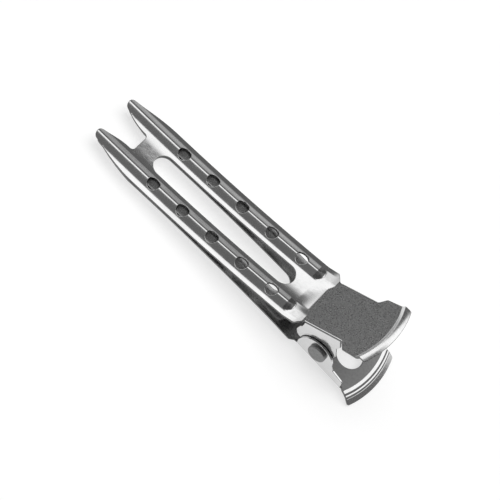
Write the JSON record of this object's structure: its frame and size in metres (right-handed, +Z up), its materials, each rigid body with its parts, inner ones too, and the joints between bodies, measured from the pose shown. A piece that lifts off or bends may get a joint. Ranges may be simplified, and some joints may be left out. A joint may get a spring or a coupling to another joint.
{
  "type": "sectioning clip",
  "caption": "Sprung metal hair sectioning clip: two bowed double-prong leaves with vent holes, hinged on a rivet, with flared and lipped thumb tabs.",
  "frame": {"origin": "bottom centre of the closed clip's bounding box, on the surface it lies on", "axes": "+X from the prong tips to the thumb tabs, +Y across the clip along the rivet, +Z up towards the upper leaf; the clip lies on its lower prong tips and its lower lip, so its mid-plane is pitched by 3.92 degrees"},
  "size_m": [0.0956, 0.0204, 0.0241],
  "materials": {
    "leaf_steel": "bright plated steel sheet, satin on the upper thumb tab",
    "rivet_steel": "dull turned steel",
    "spring_steel": "drawn spring wire"
  },
  "bodies": {
    "lower": {"lower_leaf": "leaf_steel", "hinge_rivet": "rivet_steel", "torsion_spring": "spring_steel"},
    "upper": {"upper_leaf": "leaf_steel"}
  },
  "joints": [
    {"name": "jaw_hinge", "type": "hinge", "parent": "lower", "child": "upper", "pos_m": [0.03093, 0, 0.0077], "axis": [0, 1, 0], "range_deg": [0, 45], "stiffness_Nm_per_rad": 0.12, "springref_deg": -57.3, "deforming": ["torsion_spring"]}
  ]
}
